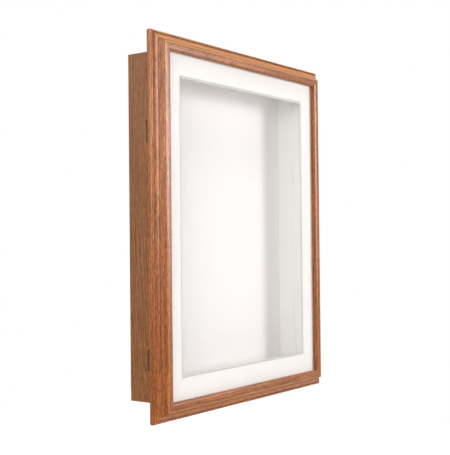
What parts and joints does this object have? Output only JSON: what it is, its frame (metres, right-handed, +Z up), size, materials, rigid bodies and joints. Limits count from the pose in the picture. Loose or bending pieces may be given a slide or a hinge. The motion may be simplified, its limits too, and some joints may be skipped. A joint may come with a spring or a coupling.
{
  "type": "shadow box",
  "caption": "Wall-hung oak shadow box: a shallow white-lined case with a hinged, glazed and matted door in a stepped moulding that overhangs the case.",
  "frame": {"origin": "middle of the case's rear face, where it lies on the wall", "axes": "+X to the right seen from the front, +Y rearward into the wall, +Z up; the door faces -Y and is hinged on the -X side"},
  "size_m": [0.686, 0.1197, 0.838],
  "materials": {
    "stained_oak": "red-brown stain under satin lacquer",
    "white_board": "matt white",
    "mat_board": "matt white, fine tooth",
    "inner_mat": "matt warm white",
    "glazing": "clear, polished",
    "plywood": "sanded birch plywood",
    "bronzed_steel": "dark bronze plating, satin",
    "zinc_steel": "bright zinc plating",
    "magnet": "nickel-plated magnet",
    "felt": "pressed felt"
  },
  "bodies": {
    "cabinet": {"back_panel": "plywood", "back_screw_1": "zinc_steel", "back_screw_2": "zinc_steel", "back_screw_3": "zinc_steel", "back_screw_4": "zinc_steel", "back_screw_5": "zinc_steel", "back_screw_6": "zinc_steel", "back_screw_7": "zinc_steel", "back_screw_8": "zinc_steel", "backing_board": "white_board", "cabinet_bottom": "stained_oak", "cabinet_left_side": "stained_oak", "cabinet_liner_bottom": "white_board", "cabinet_liner_left": "white_board", "cabinet_liner_right": "white_board", "cabinet_liner_top": "white_board", "cabinet_right_side": "stained_oak", "cabinet_top": "stained_oak", "left_keyhole_plate": "zinc_steel", "left_keyhole_screw_high": "zinc_steel", "left_keyhole_screw_low": "zinc_steel", "lower_catch_magnet": "magnet", "lower_door_bumper": "felt", "lower_hinge_cabinet_leaf": "bronzed_steel", "lower_hinge_cabinet_screw_high": "bronzed_steel", "lower_hinge_cabinet_screw_low": "bronzed_steel", "lower_hinge_pin": "bronzed_steel", "right_keyhole_plate": "zinc_steel", "right_keyhole_screw_high": "zinc_steel", "right_keyhole_screw_low": "zinc_steel", "upper_catch_magnet": "magnet", "upper_door_bumper": "felt", "upper_hinge_cabinet_leaf": "bronzed_steel", "upper_hinge_cabinet_screw_high": "bronzed_steel", "upper_hinge_cabinet_screw_low": "bronzed_steel", "upper_hinge_pin": "bronzed_steel"},
    "door": {"door_bottom_rail": "stained_oak", "door_box_bottom": "stained_oak", "door_box_left": "stained_oak", "door_box_right": "stained_oak", "door_box_top": "stained_oak", "door_left_stile": "stained_oak", "door_liner_bottom": "white_board", "door_liner_left": "white_board", "door_liner_right": "white_board", "door_liner_top": "white_board", "door_right_stile": "stained_oak", "door_top_rail": "stained_oak", "glazing": "glazing", "inner_mat": "inner_mat", "lower_catch_strike": "zinc_steel", "lower_hinge_door_leaf": "bronzed_steel", "lower_hinge_door_screw_high": "bronzed_steel", "lower_hinge_door_screw_low": "bronzed_steel", "mat_board": "mat_board", "upper_catch_strike": "zinc_steel", "upper_hinge_door_leaf": "bronzed_steel", "upper_hinge_door_screw_high": "bronzed_steel", "upper_hinge_door_screw_low": "bronzed_steel"}
  },
  "joints": [
    {"name": "door_hinge", "type": "hinge", "parent": "cabinet", "child": "door", "pos_m": [-0.3085, -0.05475, 0], "axis": [0, 0, -1], "range_deg": [0, 110]}
  ]
}
